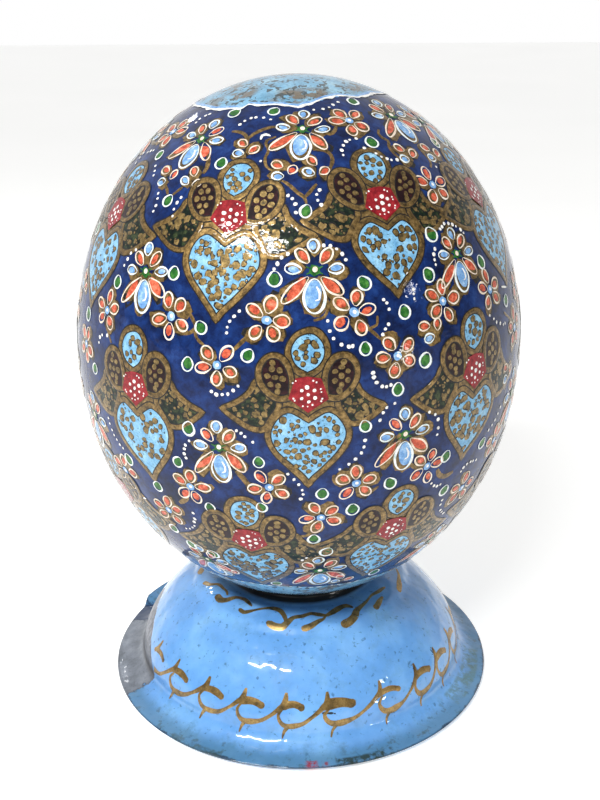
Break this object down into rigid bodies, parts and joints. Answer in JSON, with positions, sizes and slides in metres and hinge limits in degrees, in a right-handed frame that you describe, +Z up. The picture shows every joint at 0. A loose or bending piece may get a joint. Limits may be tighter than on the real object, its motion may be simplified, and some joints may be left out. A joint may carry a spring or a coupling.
{
  "type": "ostrich egg, painted, on an enamelled stand",
  "caption": "Blown ostrich egg, lacquered and painted all over with flowers and palmettes, resting for display on a flared blue enamelled metal stand.",
  "frame": {"origin": "on the ground at the middle of the stand's round foot", "axes": "+Z up along the egg's long axis, -Y towards the front, +X to the front view's right"},
  "size_m": [0.125, 0.125, 0.1782],
  "materials": {
    "painted_shell": "clear gloss lacquer over hand painting in blue, gold, coral, turquoise, green and cream",
    "blue_enamel": "gloss sky-blue vitreous enamel with fine dark specks, gold brushwork and a bare chipped patch",
    "gold_paint": "dull bronze-gold paint with dark flecks, under lacquer on the egg and bare on the enamel",
    "brush_colours": "opaque paint in coral, turquoise, cream, green, red and plum under clear gloss lacquer"
  },
  "bodies": {
    "root": {"egg": "painted_shell", "stand": "blue_enamel"}
  },
  "joints": []
}
